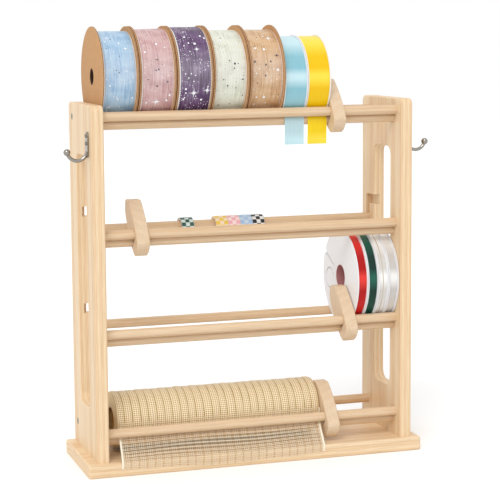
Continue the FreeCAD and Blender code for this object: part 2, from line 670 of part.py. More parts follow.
def tape_rolls():
    """Paper tape rolls hanging by their cores on the second tier's rear dowel."""
    y, rod_z = rear_dowel("2")
    z = rod_z - (TAPE_BORE_RADIUS - DOWEL_RADIUS - REST_GAP)
    for colour, x in tape_places().items():
        roll = x_tube(TAPE_ROLL_RADIUS, TAPE_BORE_RADIUS, x, x + TAPE_ROLL_WIDTH, y, z)
        save("tape_roll_" + colour, roll)


def mesh_centre():
    """The mesh roll lies on the base board, against the bottom tier's lower dowel."""
    z = BASE_THICKNESS + REST_GAP + MESH_ROLL_RADIUS
    ly, lz = lower_dowel("4")
    reach = MESH_ROLL_RADIUS + DOWEL_RADIUS + REST_GAP
    y = ly + math.sqrt(reach * reach - (z - lz) ** 2)
    rear = rear_dowel("4")
    if math.hypot(rear[0] - y, rear[1] - z) < reach:
        # too wide for the space between the dowels: it rides on both of them
        return cradle_centre((ly, lz), rear, MESH_ROLL_RADIUS)
    return y, z


def mesh_roll():
    y, z = mesh_centre()
    core = MESH_CORE_BORE + MESH_CORE_WALL
    save("mesh_core", x_tube(core, MESH_CORE_BORE, MESH_LEFT_X, MESH_RIGHT_X, y, z))
    save("mesh_winding", x_tube(MESH_ROLL_RADIUS, core, MESH_LEFT_X, MESH_RIGHT_X, y, z))


def mesh_tail():
    """Loose end of the mesh: off the roll, through the feed gap, down to the base board's front
    edge, over it and a little way down."""
    roll, front, lower = mesh_centre(), front_dowel("4"), lower_dowel("4")
    edge = (BASE_FRONT_Y + BASE_EDGE_CHAMFER, BASE_THICKNESS - BASE_EDGE_CHAMFER)
    on_roll = MESH_ROLL_RADIUS + REST_GAP + MESH_TAIL_THICKNESS / 2
    middle = (DOWEL_DIAMETER + FEED_GAP) / 2
    over_edge = BASE_EDGE_CHAMFER + MESH_TAIL_THICKNESS / 2
    leave = tangent_bearing(roll, front, on_roll + middle)
    through = bearing(front, lower)
    entry = through + math.pi
    slope = max(tangent_bearing(lower, edge, middle - over_edge), entry + math.radians(0.5))
    bends = [
        (roll, on_roll, leave - math.radians(MESH_TAIL_LAP), leave),
        (front, middle, leave - math.pi, through),
        (lower, middle, entry, slope),
        (edge, over_edge, slope, math.pi),
    ]
    x0 = MESH_LEFT_X - MESH_TAIL_DRIFT
    end_z = BASE_THICKNESS - MESH_TAIL_HANG
    return strip(x0, MESH_ROLL_LENGTH, MESH_TAIL_THICKNESS, bends, end_z)


# ---------------------------------------------------------------- everything
def build():
    os.makedirs("parts", exist_ok=True)
    save("base_board", base_board())
    for side, sign in SIDES.items():
        save("side_panel_" + side, side_panel(sign))
        save("hook_" + side, hook(sign))
    for tier in TIER_Z:
        save("front_rod_tier_" + tier, fixed_dowel(*front_dowel(tier)))
        save("lower_rod_tier_" + tier, fixed_dowel(*lower_dowel(tier)))
        save("rear_rod_tier_" + tier, rear_rod(tier))
        save("divider_tier_" + tier, divider(tier))

    rod_screw = screw(ROD_SCREW_HEAD, ROD_SCREW_SHANK, ROD_SCREW_LENGTH)
    save("rod_screws", Part.makeCompound([placed(rod_screw, *p) for p in rod_screw_places()]))
    base_screw = screw(BASE_SCREW_HEAD, BASE_SCREW_SHANK, BASE_SCREW_LENGTH)
    save("base_screws", Part.makeCompound([placed(base_screw, *p) for p in base_screw_places()]))
    hook_screw = screw(HOOK_SCREW_HEAD, HOOK_SCREW_SHANK, HOOK_SCREW_LENGTH, countersunk=False)
    save("hook_screws", Part.makeCompound([placed(hook_screw, *p) for p in hook_screw_places()]))

    sheer_spools()
    satin_spools()
    narrow_spools()
    tape_rolls()
    mesh_roll()
    save("mesh_tail", mesh_tail())


build()
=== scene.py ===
"""Blender scene of the four-tier ribbon rack: its goods in detail, over the CAD frame.

Everything is in metres in the CAD frame: +X to the right, +Y to the back, +Z up. Spools and rolls
turn about lines along X, so most pieces are made round such a line.
"""
import math
import random

import bmesh
import bpy
from mathutils import Matrix, Vector
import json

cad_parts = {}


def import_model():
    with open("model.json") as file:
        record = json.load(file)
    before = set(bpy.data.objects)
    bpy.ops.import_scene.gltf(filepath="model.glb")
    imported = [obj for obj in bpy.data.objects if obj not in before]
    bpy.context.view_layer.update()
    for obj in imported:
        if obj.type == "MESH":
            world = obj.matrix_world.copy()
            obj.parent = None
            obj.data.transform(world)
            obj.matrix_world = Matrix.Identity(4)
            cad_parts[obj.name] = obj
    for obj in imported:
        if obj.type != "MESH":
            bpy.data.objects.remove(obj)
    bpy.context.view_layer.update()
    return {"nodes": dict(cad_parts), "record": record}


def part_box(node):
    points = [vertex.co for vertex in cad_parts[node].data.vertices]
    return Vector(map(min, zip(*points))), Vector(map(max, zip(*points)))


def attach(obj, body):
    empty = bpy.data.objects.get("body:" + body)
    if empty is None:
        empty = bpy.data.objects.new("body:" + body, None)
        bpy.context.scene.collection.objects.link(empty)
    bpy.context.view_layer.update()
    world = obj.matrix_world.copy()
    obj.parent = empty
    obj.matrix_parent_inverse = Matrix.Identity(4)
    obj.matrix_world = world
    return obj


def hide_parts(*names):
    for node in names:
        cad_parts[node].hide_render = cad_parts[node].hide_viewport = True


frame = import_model()
SCENE = bpy.context.scene
BODIES = frame["record"]["behaviour"]["bodies"]
BODY_OF = {node: body for body, nodes in BODIES.items() for node in nodes}
MM = 0.001
TURN = 2 * math.pi
WHITE = (1.0, 1.0, 1.0, 1.0)

RIBBON_WIDTH = 38 * MM  # of the sheer ribbons
TAIL_WIDTH = 23.4 * MM  # of the satin ribbons' loose ends
BOARD_HUB = 11 * MM  # radii of the hubs and the core that ribbons and mesh are wound on
SATIN_HUB = 14 * MM
NARROW_HUB = 16 * MM
MESH_CORE = 15 * MM
MESH_PITCH = 9.5 * MM  # between the foil strands of the mesh
THREADS = 4  # thread spacings from one foil strand to the next
MESH_STEP = MESH_PITCH / THREADS
MESH_OVERHANG = 4.5 * MM  # of the wound mesh past its core's left end
CHECK = 4.9 * MM  # side of the squares printed on the paper tapes


# ---- small helpers
def rgb(red, green, blue):
    """Linear colour of an sRGB one given as 0 to 255."""
    def linear(value):
        value /= 255
        return value / 12.92 if value <= 0.04045 else ((value + 0.055) / 1.055) ** 2.4

    return linear(red), linear(green), linear(blue), 1.0


def lighter(colour, share):
    """A colour moved that share of the way to white."""
    return tuple(value + (1 - value) * share for value in colour[:3]) + (1.0,)


def dimmed(colour, share):
    """A colour with that share of its light."""
    return tuple(share * value for value in colour[:3]) + (1.0,)


def axis_of(node):
    """(y, z) of the X line that a round node lies on."""
    low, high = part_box(node)
    centre = (low + high) / 2
    return centre.y, centre.z


def radius_of(node):
    """Outer radius of a round node that lies along X."""
    low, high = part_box(node)
    return (high.z - low.z) / 2


def bearing(start, end):
    """Angle of the way from one (y, z) point to another."""
    return math.atan2(end[1] - start[1], end[0] - start[0])


def added(name, data):
    """New object in the scene."""
    made = bpy.data.objects.new(name, data)
    SCENE.collection.objects.link(made)
    return made


# ---- materials
class Graph:
    """The shader nodes of one material or world."""

    def __init__(self, owner):
        owner.use_nodes = True
        self.owner, self.tree = owner, owner.node_tree
        self.tree.nodes.clear()

    def put(self, socket, value):
        if isinstance(value, bpy.types.NodeSocket):
            self.tree.links.new(value, socket)
        else:
            socket.default_value = value

    def node(self, kind, inputs, **settings):
        made = self.tree.nodes.new("ShaderNode" + kind)
        for key, value in settings.items():
            setattr(made, key, value)
        for key, value in inputs.items():
            self.put(made.inputs[key], value)
        return made

    def math(self, operation, *values, clamp=False):
        inputs = dict(enumerate(values))
        return self.node("Math", inputs, operation=operation, use_clamp=clamp).outputs[0]

    def times(self, first, *others):
        for other in others:
            first = self.math("MULTIPLY", first, other)
        return first

    def above(self, value, limit):
        return self.math("GREATER_THAN", value, limit)

    def below(self, value, limit):
        return self.math("LESS_THAN", value, limit)

    def offset(self, value, place):
        """Distance between two values."""
        return self.math("ABSOLUTE", self.math("SUBTRACT", value, place))

    def ramp(self, value, *stops):
        made = self.node("ValToRGB", {0: value})
        elements = made.color_ramp.elements
        while len(elements) < len(stops):
            elements.new(1.0)
        for element, (position, colour) in zip(elements, stops):
            element.position = position
            element.color = colour
        return made.outputs[0]

    def mix(self, factor, a, b, blend="MIX"):
        made = self.node("Mix", {0: factor, 6: a, 7: b}, data_type="RGBA", blend_type=blend)
        return made.outputs[2]

    def product(self, a, b):
        """Two colours multiplied."""
        return self.mix(1.0, a, b, "MULTIPLY")

    def coords(self, scale=(1, 1, 1), location=(0, 0, 0)):
        """Place in the CAD frame, scaled and shifted."""
        source = self.node("TexCoord", {}).outputs["Object"]
        inputs = {"Vector": source, "Scale": scale, "Location": location}
        return self.node("Mapping", inputs).outputs[0]

    def uv(self, scale=(1, 1, 1)):
        """Place on the surface in metres: across the strip and along it."""
        source = self.node("UVMap", {}, uv_map="UVMap").outputs[0]
        return self.node("Mapping", {"Vector": source, "Scale": scale}).outputs[0]

    def split(self, vector):
        return self.node("SeparateXYZ", {0: vector}).outputs

    def is_side(self):
        """1 where the surface looks along X, as a disc's or a roll's sides do."""
        normal = self.node("NewGeometry", {}).outputs["Normal"]
        return self.above(self.math("ABSOLUTE", self.split(normal)[0]), 0.8)

    def noise(self, vector, scale, detail=2.0, roughness=0.5):
        inputs = {"Vector": vector, "Scale": scale, "Detail": detail, "Roughness": roughness}
        return self.node("TexNoise", inputs).outputs[0]

    def surface(self, colour, roughness, height=None, distance=0.1 * MM, **fixed):
        """Ends the material; fixed values go on the shader's own sockets."""
        shader = self.node("BsdfPrincipled", {"Base Color": colour, "Roughness": roughness})
        for key, value in fixed.items():
            shader.inputs[key.replace("_", " ")].default_value = value
        if height is not None:
            bump = self.node("Bump", {"Height": height, "Distance": distance, "Strength": 1.0})
            self.put(shader.inputs["Normal"], bump.outputs[0])
        self.node("OutputMaterial", {"Surface": shader.outputs[0]})
        return self.owner


def material(name):
    """Empty graph of a new material."""
    return Graph(bpy.data.materials.new(name))


PINE = (246, 227, 197), (241, 215, 180), (227, 190, 149)
DOWEL_PINE = (236, 214, 185), (229, 203, 172), (212, 178, 142)
LEAF_PINE = (236, 216, 192), (229, 207, 180), (218, 187, 154)


def stretched(axis, share):
    """Scale for coords() that draws a pattern out along one axis."""
    return [share if index == axis else 1.0 for index in range(3)]


def pine(name, tones, axis, pith, rings=52.0, wobble=4.0, contrast=0.6):
    """Planed pine: growth rings round a pith line along one axis, and fine fibres."""
    g = material(name)
    pale, mid, dark = (rgb(*tone) for tone in tones)
    grain = stretched(axis, 0.05)
    wave = g.node(
        "TexWave",
        {
            "Vector": g.coords(grain, [-value for value in pith]), "Scale": rings,
            "Distortion": wobble, "Detail": 2.0, "Detail Scale": 0.5,
        },
        wave_type="RINGS", rings_direction="XYZ"[axis],
    ).outputs[1]
    ringed = g.ramp(wave, (0.0, pale), (0.55, mid), (0.86, dark), (1.0, mid))
    ringed = g.mix(contrast, mid, ringed)
    fibres = g.noise(g.coords(stretched(axis, 0.02)), 1500.0, 3.0, 0.6)
    pores = g.ramp(fibres, (0.3, rgb(234, 228, 218)), (0.62, WHITE))
    patches = g.mix(g.noise(g.coords(grain), 38.0, 2.0), rgb(252, 246, 236), WHITE)
    rough = g.math("MULTIPLY_ADD", fibres, -0.12, 0.52)
    colour = g.product(g.product(ringed, pores), patches)
    return g.surface(colour, rough, fibres, 0.12 * MM, Specular_IOR_Level=0.35)


def board(name, pale, dark, speckle=0.5):
    """Uncoated recycled board: mottled, with short darker fibres."""
    g = material(name)
    mottle = g.noise(g.coords(), 160.0, 4.0, 0.6)
    fibres = g.noise(g.coords((1.0, 0.35, 1.0)), 2600.0, 3.0, 0.7)
    base = g.mix(mottle, dark, pale)
    flecks = g.ramp(fibres, (0.34, rgb(150, 118, 88)), (0.5, WHITE))
    colour = g.mix(speckle, base, g.product(base, flecks))
    return g.surface(colour, 0.86, fibres, 0.06 * MM, Specular_IOR_Level=0.2)


def dots(g, cells, share, small, large, seed):
    """Round specks: 1 inside them. Also returns a random number per speck."""
    place = g.node("Mapping", {"Vector": g.uv(), "Location": (seed, seed, 0)}).outputs[0]
    cell = g.node("TexVoronoi", {"Vector": place, "Scale": cells}, voronoi_dimensions="2D")
    pick, size, tint = g.node("SeparateColor", {0: cell.outputs["Color"]}).outputs
    reach = g.math("MULTIPLY_ADD", size, (large - small) * cells, small * cells)
    inside = g.below(cell.outputs["Distance"], reach)
    return g.times(inside, g.below(pick, share)), tint


def foil_specks(g, colour, inset, share, dark_share):
    """Colour with silver specks and dark specks in clusters, kept off the ribbon's sides; the dark
    specks are painted dark reflection on the foil.
    """
    away = g.above(inset, 3.0 * MM)
    clusters = g.above(g.noise(g.uv(), 55.0, 1.0), 0.46)
    # Silver is the foil's own tone; the dark share of the specks is painted dark reflection on the
    # foil.
    silver, dark_reflection = rgb(252, 252, 254), rgb(66, 70, 78)
    for cells, portion, small, large, seed in (
        (150.0, share * 0.5, 0.4 * MM, 1.0 * MM, 3.1), (330.0, share, 0.25 * MM, 0.5 * MM, 7.7),
    ):
        speck, tint = dots(g, cells, portion, small, large, seed)
        colour = g.mix(
            g.times(speck, away, clusters), colour, g.mix(g.below(tint, dark_share), silver, dark_reflection)
        )
    return colour


def woven_sides(g, colour, deep, across, along, inset):
    """Colour with pale woven sides, wider on the left, and a line of painted shade next to them."""
    beat = g.math("SINE", g.times(along, TURN / (2.6 * MM)))
    left = g.below(across, RIBBON_WIDTH / 2)
    reach = g.math("MULTIPLY_ADD", beat, 0.3 * MM, g.math("MULTIPLY_ADD", left, 1.0 * MM, 1.0 * MM))
    # Painted shade: a darker line beside each woven side.
    painted_shade_line = g.below(inset, g.math("ADD", reach, 0.7 * MM))
    colour = g.mix(g.times(painted_shade_line, 0.5), colour, deep)
    return g.mix(g.times(g.below(inset, reach), 0.9), colour, rgb(242, 242, 244))


def sheer(name, pale, deep, radius, share, dark_share):
    """Organza ribbon: streaks along it, a painted highlight as a hazy sheen in front, foil specks,
    woven sides.
    """
    g = material(name)
    across, along = g.split(g.uv())[:2]
    streaks = g.noise(g.uv((1.0, 0.03, 1.0)), 850.0, 4.0, 0.75)
    folds = g.noise(g.uv((0.6, 1.0, 1.0)), 70.0, 3.0)
    tone = g.times(g.math("MULTIPLY_ADD", streaks, 1.6, folds), 0.385)
    colour = g.ramp(tone, (0.4, deep), (0.51, pale), (0.66, lighter(pale, 0.22)))
    # Painted highlight: a pale sheen band painted where the share of a turn faces the front, broken up
    # by the streaks.
    facing = g.math("FRACT", g.math("DIVIDE", along, radius * TURN))
    painted_sheen = g.math("MULTIPLY_ADD", g.offset(facing, 0.475), -11.0, 1.0, clamp=True)
    colour = g.mix(g.times(painted_sheen, streaks, 0.42), colour, rgb(224, 222, 226))
    inset = g.math("MINIMUM", across, g.math("SUBTRACT", RIBBON_WIDTH, across))
    colour = foil_specks(g, colour, inset, share, dark_share)
    colour = woven_sides(g, colour, deep, across, along, inset)
    return g.surface(colour, 0.42, streaks, 0.15 * MM, Sheen_Weight=0.12)


def satin(name, tones, radius, bands, width, line=None, side=None):
    """Satin strip: painted highlight and painted shade bands across it by the share of a turn, standing
    in for its gloss; fine warp lines.

    tones and bands go by the names mid, light and deep; line = ((from, to), colour) is a stripe.
    """
    g = material(name)
    across, along = g.split(g.uv())[:2]
    angle = g.math("DIVIDE", along, radius * TURN)
    # Painted highlight and painted shade: the light and deep tones are laid by the share of a turn.
    base = g.ramp(g.math("FRACT", angle), *((place, tones[tone]) for place, tone in bands))
    warp = g.noise(g.uv((1.0, 0.02, 1.0)), 3000.0, 2.0)
    lines = g.ramp(warp, (0.35, rgb(244, 244, 244)), (0.6, WHITE))
    colour = g.product(base, lines)
    if line:
        (start, end), tint = line
        colour = g.mix(g.times(g.above(across, start), g.below(across, end)), colour, tint)
    inset = g.math("MINIMUM", across, g.math("SUBTRACT", width, across))
    colour = g.mix(g.below(inset, 0.35 * MM), colour, tones["light"])
    # Painted shade: the strip's sides take a pale grey that stands in for the shade seen through the
    # flanges' slits.
    if side:
        colour = g.mix(g.is_side(), colour, side)
    return g.surface(colour, 0.32, warp, 0.04 * MM, Specular_IOR_Level=0.3)


def check_tape(name, dark, pale):
    """Paper tape printed with squares; its sides show the wound layers."""
    g = material(name)
    across, along = g.split(g.uv())[:2]
    counts = [g.math("FLOOR", g.math("DIVIDE", value, CHECK)) for value in (across, along)]
    odd = g.math("MODULO", g.math("ABSOLUTE", g.math("ADD", *counts)), 2.0)
    fibre = g.noise(g.uv(), 1900.0, 4.0, 0.7)
    worn = g.ramp(fibre, (0.3, rgb(232, 230, 226)), (0.6, WHITE))
    colour = g.product(g.mix(g.above(odd, 0.5), pale, dark), worn)
    layers = g.noise(g.coords((0.0, 1.0, 1.0)), 4200.0, 2.0)
    colour = g.mix(g.is_side(), colour, g.mix(layers, dark, rgb(246, 240, 232)))
    return g.surface(colour, 0.5, fibre, 0.04 * MM)


def plastic(name, colour, bore=None):
    """Moulded plastic with a faint haze; bore = (axis, radius, colour) tints the hole's wall."""
    g = material(name)
    haze = g.noise(g.coords(), 420.0, 3.0)
    base = g.mix(g.times(haze, 0.12), colour, rgb(205, 205, 208))
    if bore:
        (y, z), radius, tint = bore
        dy, dz = g.split(g.coords(location=(0, -y, -z)))[1:]
        reach = g.math("SQRT", g.math("ADD", *[g.math("POWER", value, 2.0) for value in (dy, dz)]))
        base = g.mix(g.below(reach, radius), base, tint)
    return g.surface(base, 0.34, haze, 0.03 * MM)


def metal(name, colour, roughness):
    """Plated metal with light rubbing marks."""
    g = material(name)
    marks = g.noise(g.coords((1, 1, 0.2)), 2200.0, 3.0)
    rough = g.math("MULTIPLY_ADD", marks, 0.16, roughness)
    return g.surface(g.mix(marks, colour, dimmed(colour, 0.78)), rough, marks, 0.01 * MM, Metallic=1.0)


def mesh_winding_material():
    """Wound open mesh: a grid of threads over the layer below, whose holes are painted dark brown as
    that layer in shade; foil strands in the creases, with painted pleat shade beside them and painted
    crease shade along them.
    """
    g = material("gold_mesh_wound")
    across, along = g.split(g.uv())[:2]
    bars = []
    for value in (across, along):
        place = g.math("FRACT", g.math("DIVIDE", value, MESH_STEP))
        bars.append(g.below(g.offset(place, 0.5), 0.29))
    count = g.times(g.math("ADD", *bars), 0.5)
    # Holes show the layer below, painted dark brown as that layer in shade.
    colour = g.ramp(
        count, (0.0, rgb(152, 116, 72)), (0.5, rgb(231, 205, 161)), (1.0, rgb(249, 235, 202)),
    )
    phase = g.math("FRACT", g.math("ADD", g.math("DIVIDE", across, MESH_PITCH), 0.5))
    crease = g.offset(phase, 0.5)
    patches = g.noise(g.uv((0.5, 1.0, 1.0)), 45.0, 2.0)
    # Gold of the foil strands, spread beside the creases as painted pleat shade.
    foil_and_pleat_shade = g.math("MULTIPLY_ADD", crease, -5.5, 1.0, clamp=True)
    colour = g.mix(g.times(foil_and_pleat_shade, g.times(patches, 1.1)), colour, rgb(214, 178, 104))
    # Painted shade: dashed dark lines along the creases.
    beat = g.above(g.math("SINE", g.times(along, TURN / MESH_STEP)), -0.3)
    painted_crease_shade = g.times(g.below(crease, 0.07), beat, patches)
    painted_crease_shade = g.math("MULTIPLY", painted_crease_shade, 1.5, clamp=True)
    colour = g.mix(painted_crease_shade, colour, rgb(128, 96, 50))
    layers = g.noise(g.coords((0.0, 1.0, 1.0)), 1500.0, 2.0)
    colour = g.mix(g.is_side(), colour, g.mix(layers, rgb(226, 200, 146), rgb(250, 236, 200)))
    return g.surface(colour, 0.5, count, 0.2 * MM)


def thread(name, colour, shade, roughness=0.5):
    """Flat plastic thread with small changes of tone along it."""
    g = material(name)
    tone = g.noise(g.coords(), 700.0, 3.0)
    fine = g.noise(g.coords((1.0, 0.2, 0.2)), 5000.0, 2.0)
    return g.surface(g.mix(tone, shade, colour), roughness, fine, 0.03 * MM)


# ---- meshes
def build_mesh(name, vertices, faces, uvs=None, slots=None, sharp=35.0):
    """Mesh with outward normals, UVs in metres and smooth shading up to a sharp angle."""
    mesh = bpy.data.meshes.new(name)
    mesh.from_pydata(vertices, [], faces)
    layer = mesh.uv_layers.new(name="UVMap", do_init=False)
    if uvs:
        layer.data.foreach_set("uv", [value for face in uvs for pair in face for value in pair])
    if slots:
        mesh.polygons.foreach_set("material_index", slots)
    work = bmesh.new()
    work.from_mesh(mesh)
    bmesh.ops.recalc_face_normals(work, faces=work.faces)
    work.to_mesh(mesh)
    work.free()
    mesh.shade_smooth()
    mesh.set_sharp_from_angle(angle=math.radians(sharp))
    return mesh


def piece(mesh, materials, node, slot, keep_node=False):
    """Adds a mesh as a piece that rides with a CAD node's body and, by default, replaces that node."""
    for finish in materials:
        mesh.materials.append(finish)
    made = added(mesh.name, mesh)
    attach(made, BODY_OF[node])
    if not keep_node:
        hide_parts(node)
    return made


def between(low, high, k, after):
    """Face between points k and after of two rings, whose points start at numbers low and high."""
    return low + k, low + after, high + after, high + k


def loop_solid(name, rings, uvs, slots):
    """Joins rings of points into a solid; every ring is the same closed outline, turned further."""
    count, total = len(rings[0]), len(rings)
    vertices = [point for ring in rings for point in ring]
    faces, face_uvs = [], []
    for j in range(total):
        low, high = j * count, (j + 1) % total * count
        v0, v1 = uvs[1][j], uvs[1][j + 1]
        for k in range(count):
            faces.append(between(low, high, k, (k + 1) % count))
            u0, u1 = uvs[0][k], uvs[0][k + 1]
            face_uvs.append(((u0, v0), (u1, v0), (u1, v1), (u0, v1)))
    return build_mesh(name, vertices, faces, face_uvs, slots * total)


def turned(x, radius, angle, axis):
    """Point round an X line; angle 0 looks to the back and a quarter turn looks up."""
    return x, axis[0] + radius * math.cos(angle), axis[1] + radius * math.sin(angle)


def lathe(name, profile, axis, segments, warp=0.0):
    """Solid round an X line from a closed profile of (x, radius, material number).

    warp bends the discs out of true by that much at the rim.
    """
    rim = max(radius for _, radius, _ in profile)
    phase = random.uniform(0, TURN)
    rings = []
    for j in range(segments):
        angle = TURN * j / segments
        bend = warp * math.sin(2 * angle + phase)
        rings.append([turned(x + bend * (r / rim) ** 2, r, angle, axis) for x, r, _ in profile])
    across = [0.0]
    for point, after in zip(profile, profile[1:] + profile[:1]):
        across.append(across[-1] + math.dist(point[:2], after[:2]))
    along = [TURN * rim * j / segments for j in range(segments + 1)]
    return loop_solid(name, rings, (across, along), [slot for _, _, slot in profile])


SLIVER = math.radians(0.25)  # between a wound strip's end and its start, at the step


def winding(name, low, high, axis, radius, bore, columns, segments, ply, start, shape, chart=None):
    """Wound strip from x = low to high, with a bore.

    Its outer layer is one turn of a spiral that ends in a step of ply at angle start. shape(u, angle)
    adds to the radius; chart(u) gives the UV's first value.
    """
    chart = chart or (lambda u: u)
    width = high - low
    places = [width * k / columns for k in range(columns + 1)]
    rings, along = [], []
    for j in range(segments + 1):
        share = j / segments
        angle = start + (TURN - SLIVER) * share
        ring = []
        for u in places:
            r = radius - ply * (1 - share) + shape(u, angle)
            ring.append(turned(low + u, r, angle, axis))
        ring += [turned(x, bore, angle, axis) for x in (high, low)]
        rings.append(ring)
        along.append(angle * radius)
    along.append(along[0] + TURN * radius)
    across = [chart(u) for u in places]
    across += [across[-1] + radius - bore, across[-1] + radius - bore, across[-1]]
    return loop_solid(name, rings, (across, along), [0] * (columns + 3))


def ripples(width, height, count, rounding=0.3 * MM):
    """Small uneven waves of a wound strip, with its two sides rounded over."""
    waves = [
        (
            random.uniform(-1, 1), random.randint(2, 23), random.uniform(0, TURN),
            random.uniform(-260, 260),
        )
        for _ in range(count)
    ]

    def shape(u, angle):
        rise = sum(a * math.sin(k * angle + p + q * u) for a, k, p, q in waves) * height / count
        inset = min(u, width - u)
        return rise - rounding * max(0.0, 1 - inset / rounding) ** 2

    return shape


def wound_ribbon(node, finish, hub, columns, segments, ply, end, waves):
    """Ribbon on its hub; the step of its end is at end degrees, waves = (height, count)."""
    low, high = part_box(node)
    shape = ripples(high.x - low.x, *waves)
    mesh = winding(
        node + "_wound", low.x, high.x, axis_of(node), radius_of(node), hub, columns, segments,
        ply, math.radians(end), shape,
    )
    piece(mesh, [finish], node, node)


# ---- spools of the top tier
FACE, LINER_EDGE, PLY_EDGE, TUBE = range(4)


def board_reel(node):
    """Board reel: two discs of laminated board with a recessed core layer, on a board hub; the core
    layer's edge is also painted dark as shade in the gap between reels, and the hub and bore are
    painted near black as shade.
    """
    low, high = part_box(node)
    axis, rim, bore = axis_of(node), radius_of(node), 7.4 * MM
    wall, recess = 2 * MM, 0.9 * MM
    disc = (
        (0.6 * MM, bore + wall, FACE), (0.6 * MM, rim - 0.3 * MM, FACE),
        (0.75 * MM, rim, LINER_EDGE), (1.1 * MM, rim, PLY_EDGE),
        (1.15 * MM, rim - 0.25 * MM, PLY_EDGE), (1.75 * MM, rim - 0.25 * MM, PLY_EDGE),
        (1.8 * MM, rim, LINER_EDGE), (2.15 * MM, rim, FACE),
        (2.3 * MM, rim - 0.2 * MM, FACE), (2.3 * MM, BOARD_HUB, TUBE),
    )
    profile = [(low.x + x, r, slot) for x, r, slot in disc]
    slots = [slot for _, _, slot in disc[-2::-1]] + [TUBE]
    profile += [(high.x - x, r, slot) for (x, r, _), slot in zip(disc[::-1], slots)]
    profile += [(high.x - recess, r, TUBE) for r in (bore + wall, bore)]
    profile += [(low.x + recess, r, TUBE) for r in (bore, bore + wall)]
    mesh = lathe(node + "_ply", profile, axis, 128, 0.18 * MM)
    piece(mesh, [KRAFT, LINER, CORE_PLY_AND_GAP_SHADE, HUB_PAINTED_SHADE], node, "kraft_board")


STAR_POINTS = 16
STAR_SIZES = (1.0, 0.2, 0.46, 0.2)  # long ray, notch, short ray, notch, as shares of the reach
STAR_REACH = 2 * MM  # a smaller mark is a round dot


def sparkle(vertices, faces, low, u, angle, radius, axis, reach):
    """Foil mark as a thin closed prism on the ribbon: a star, or a round dot if it is small."""
    points = []
    for index in range(STAR_POINTS):
        turn = TURN * index / STAR_POINTS
        size = reach * (STAR_SIZES[index % 4] if reach >= STAR_REACH else 1.0)
        points.append((size * math.cos(turn), size * math.sin(turn), size))
    first, ring = len(vertices), STAR_POINTS + 1
    for lift in (0.16 * MM, -0.2 * MM):
        vertices.append(turned(low + u, radius + lift, angle, axis))
        for across, along, size in points:
            drop = 0.1 * MM * size / reach if lift > 0 else 0.0
            place = turned(low + u + across, radius + lift - drop, angle + along / radius, axis)
            vertices.append(place)
    for index in range(STAR_POINTS):
        a, b = first + 1 + index, first + 1 + (index + 1) % STAR_POINTS
        faces.append((first, a, b))
        faces.append((first + ring, b + ring, a + ring))
        faces.append((a, a + ring, b + ring, b))


def sheer_ribbon(colour):
    """Sheer ribbon on its reel, with its silver foil marks and its foil marks painted dark as
    reflection.
    """
    node = "sheer_ribbon_" + colour
    wound_ribbon(node, SHEER[colour], BOARD_HUB, 44, 200, 0.35 * MM, 40, (0.5 * MM, 7))
    left, axis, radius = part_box(node)[0].x, axis_of(node), radius_of(node)
    vertices, faces, slots = [], [], []
    for slot, marks in enumerate(MARKS[colour]):
        for u, degrees, reach in marks:
            angle = math.pi - math.radians(degrees)
            sparkle(vertices, faces, left, u * MM, angle, radius, axis, reach * MM)
            slots += [slot] * (len(faces) - len(slots))
    mesh = build_mesh(node + "_foil", vertices, faces, slots=slots)
    piece(mesh, [FOIL, FOIL_DARK_REFLECTION], node, node, keep_node=True)


def satin_ribbon(colour):
    """Satin ribbon on its reel."""
    node = "satin_ribbon_" + colour
    wound_ribbon(node, SATIN[colour], SATIN_HUB, 24, 160, 0.2 * MM, -62, (0.12 * MM, 5))


TAIL_STEP = 1.6 * MM  # between the cross lines of a satin tail


def strip_sheet(name, path, low, width, thickness, columns, sway):
    """Sheet that follows a (y, z) path; sway(u, share) shifts it along its normal."""
    places = [width * k / columns for k in range(columns + 1)]
    across = places + places[::-1]
    sides = [0.5] * (columns + 1) + [-0.5] * (columns + 1)
    count, last = len(across), len(path) - 1
    vertices, faces, uvs = [], [], []
    for j, (y, z) in enumerate(path):
        before, after = path[max(j - 1, 0)], path[min(j + 1, last)]
        ty, tz = after[0] - before[0], after[1] - before[1]
        length = math.hypot(ty, tz)
        ny, nz = -tz / length, ty / length
        for u, side in zip(across, sides):
            shift = sway(u, j / last) + side * thickness
            vertices.append((low + u, y + ny * shift, z + nz * shift))
    for j in range(last):
        v0, v1 = j * TAIL_STEP, (j + 1) * TAIL_STEP
        for k in range(count):
            after = (k + 1) % count
            faces.append(between(j * count, (j + 1) * count, k, after))
            uvs.append(((across[k], v0), (across[after], v0), (across[after], v1), (across[k], v1)))
    for j in (0, last):
        for k in range(columns):
            opposite = count - 1 - k
            faces.append([j * count + n for n in (k, k + 1, opposite - 1, opposite)])
            uvs.append([(across[n], 0) for n in (k, k + 1, k + 1, k)])
    return build_mesh(name, vertices, faces, uvs)


def arc(centre, radius, first, last, step=1.0 * MM):
    """Points (y, z) along an arc, both ends included."""
    count = max(2, math.ceil(abs(last - first) * radius / step))
    angles = [first + (last - first) * k / count for k in range(count + 1)]
    return [(centre[0] + radius * math.cos(a), centre[1] + radius * math.sin(a)) for a in angles]


def evenly(points, step):
    """The same path with points a step apart, and its length."""
    lengths = [0.0]
    for point, after in zip(points, points[1:]):
        lengths.append(lengths[-1] + math.dist(point, after))
    count = max(2, round(lengths[-1] / step))
    made, index = [], 0
    for k in range(count + 1):
        target = lengths[-1] * k / count
        while index < len(points) - 2 and lengths[index + 1] < target:
            index += 1
        span = lengths[index + 1] - lengths[index]
        share = (target - lengths[index]) / span if span > 1e-12 else 0.0
        (y0, z0), (y1, z1) = points[index], points[index + 1]
        made.append((y0 + (y1 - y0) * share, z0 + (z1 - z0) * share))
    return made, lengths[-1]


